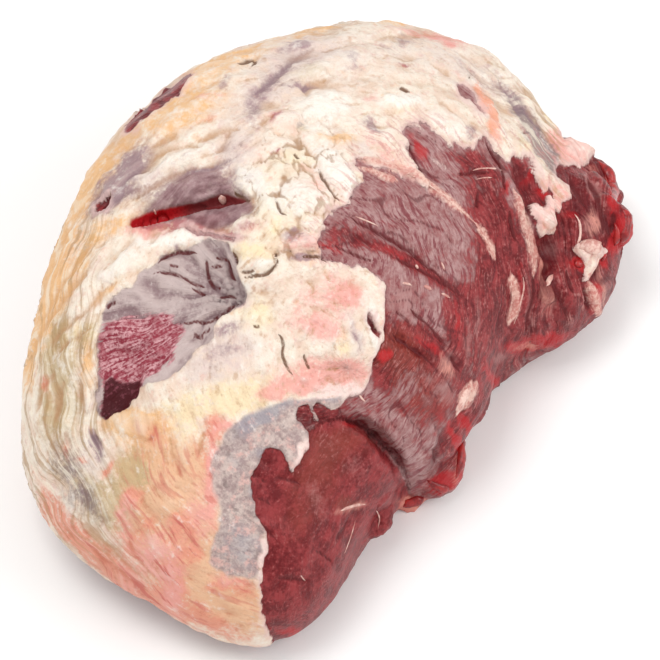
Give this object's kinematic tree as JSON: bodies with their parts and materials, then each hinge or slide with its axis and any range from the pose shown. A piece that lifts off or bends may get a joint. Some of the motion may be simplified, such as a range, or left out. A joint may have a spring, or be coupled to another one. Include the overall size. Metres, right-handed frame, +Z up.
{
  "type": "raw beef topside",
  "caption": "Whole raw beef topside: one solid lump of lean muscle with its fat cover grown on, lying fat side up on its pressed-flat underside.",
  "frame": {"origin": "middle of the bounding box in plan, at the level on which the cut rests", "axes": "+X along the cut towards its ragged end, +Y towards the fat-covered back, +Z up"},
  "size_m": [0.4004, 0.2586, 0.1561],
  "materials": {
    "meat": "moist raw fat and lean, satin to wet gloss"
  },
  "bodies": {
    "root": {"topside": "meat"}
  },
  "joints": []
}
